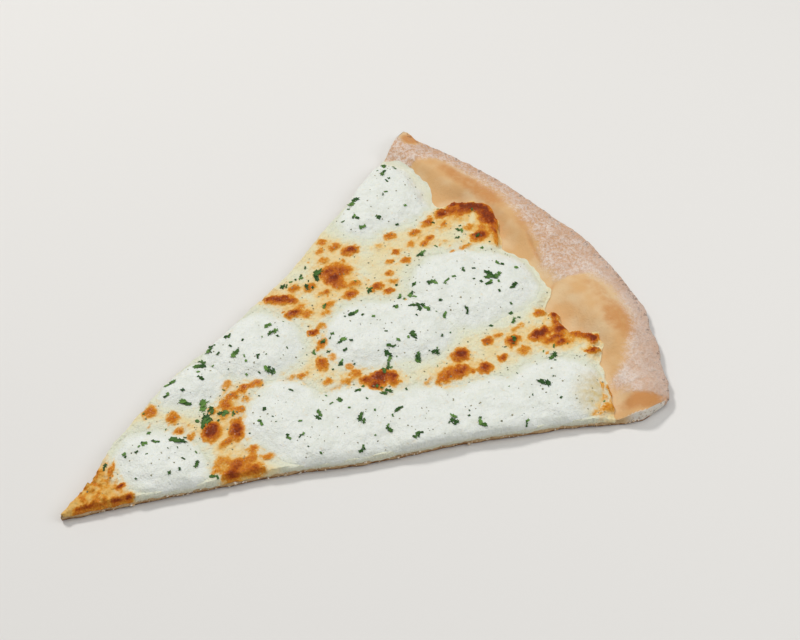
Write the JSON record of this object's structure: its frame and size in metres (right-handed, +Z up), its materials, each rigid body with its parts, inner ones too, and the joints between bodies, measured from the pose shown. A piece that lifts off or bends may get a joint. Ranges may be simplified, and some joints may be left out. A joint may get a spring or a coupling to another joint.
{
  "type": "cheese pizza slice",
  "caption": "Wide wedge of white cheese pizza with a puffed baked rim, blistered mozzarella, spread ricotta and chopped parsley.",
  "frame": {"origin": "under the middle of the slice's bounding box, on the surface it lies on", "axes": "+X from the pointed tip to the rim, +Z up out of the topping, +Y to the cut side that lies on the left when looking from the tip to the rim"},
  "size_m": [0.3564, 0.273, 0.0122],
  "materials": {
    "baked_crust": "matt baked dough, tan with a floury outer edge and browned spots",
    "mozzarella": "soft satin melted cheese, pale yellow with browned blisters",
    "ricotta": "soft satin fresh cheese, off-white"
  },
  "bodies": {
    "root": {"crust": "baked_crust", "mozzarella": "mozzarella", "ricotta_tip": "ricotta", "ricotta_back_low": "ricotta", "ricotta_back_middle": "ricotta", "ricotta_centre": "ricotta", "ricotta_rim": "ricotta", "ricotta_back_rim": "ricotta", "ricotta_front": "ricotta"}
  },
  "joints": []
}
